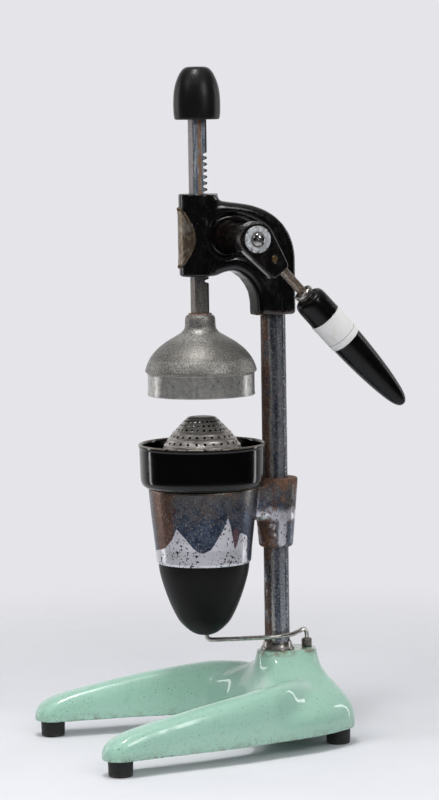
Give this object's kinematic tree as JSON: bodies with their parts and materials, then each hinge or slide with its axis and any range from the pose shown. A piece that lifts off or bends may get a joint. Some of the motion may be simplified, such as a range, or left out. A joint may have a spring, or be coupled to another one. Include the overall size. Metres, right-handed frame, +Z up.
{
  "type": "citrus press juicer",
  "caption": "Hand-lever citrus press: a rack-and-pinion head lowers a cast bell over a perforated cone in a bowl, with a funnel below, on a column and horseshoe base.",
  "frame": {"origin": "on the table, under the middle of the object's bounding box", "axes": "+Z up along the column, -Y towards the open side of the horseshoe base, +X towards the lever"},
  "size_m": [0.2514, 0.3326, 0.6819],
  "materials": {
    "mint_enamel": "gloss stove enamel with small dark chips",
    "black_enamel": "gloss black stove enamel",
    "black_plastic": "satin moulded black plastic",
    "bowl_enamel": "gloss black enamel",
    "worn_chrome": "chrome plating, pitted, with rust along the edges",
    "cast_aluminium": "dull cast aluminium with a turned band",
    "stainless": "bright perforated stainless sheet",
    "plain_steel": "bare steel, lightly rusted",
    "zinc": "zinc plated",
    "aged_brass": "worn brass gone grey-brown",
    "rubber": "matt black rubber",
    "paper": "matt white paper label, blank"
  },
  "bodies": {
    "stand": {"base_casting": "mint_enamel", "foot_front_near": "rubber", "foot_front_far": "rubber", "foot_rear_near": "rubber", "foot_rear_far": "rubber", "foot_screw_front_near": "plain_steel", "foot_screw_front_far": "plain_steel", "foot_screw_rear_near": "plain_steel", "foot_screw_rear_far": "plain_steel", "column_tube": "worn_chrome", "column_collar": "worn_chrome", "column_nut": "plain_steel", "funnel_holder": "worn_chrome", "holder_screw": "plain_steel", "lower_funnel": "black_plastic", "catch_bowl": "bowl_enamel", "strainer_cone": "stainless", "wire_collar": "plain_steel", "head_casting": "black_enamel", "head_screw": "plain_steel", "gear_cover": "black_enamel", "cover_screw_1": "plain_steel", "cover_screw_2": "plain_steel", "cover_screw_3": "plain_steel", "nameplate": "aged_brass", "rivet_top": "aged_brass", "rivet_bottom": "aged_brass", "shaft_bush": "aged_brass"},
    "press": {"rack_bar": "worn_chrome", "rack_cap": "black_plastic", "press_bell": "cast_aluminium", "bell_screw": "plain_steel"},
    "lever": {"pinion_gear": "plain_steel", "pinion_shaft": "plain_steel", "lever_hub": "black_enamel", "lever_grub": "aged_brass", "lever_washer": "zinc", "lever_screw": "zinc", "handle_rod": "plain_steel", "grip_nut": "zinc", "grip_ferrule": "plain_steel", "handle_grip": "black_plastic", "grip_label": "paper"},
    "drip_wire": {"drip_wire": "stainless"}
  },
  "joints": [
    {"name": "lever_swing", "type": "hinge", "parent": "stand", "child": "lever", "pos_m": [0.0833, 0.00847, 0.513], "axis": [1, 0, 0], "range_deg": [-93, 190]},
    {"name": "rack_slide", "type": "slide", "parent": "stand", "child": "press", "axis": [0, 0, 1], "range_m": [-0.0731, 0.0359]},
    {"name": "drip_wire_swing", "type": "hinge", "parent": "stand", "child": "drip_wire", "pos_m": [0.003, 0.09007, 0.1], "axis": [0, 0, 1], "range_deg": [0, 100]}
  ],
  "couplings": [
    {"joint": "rack_slide", "follows": "lever_swing", "m_per_rad": -0.022}
  ]
}
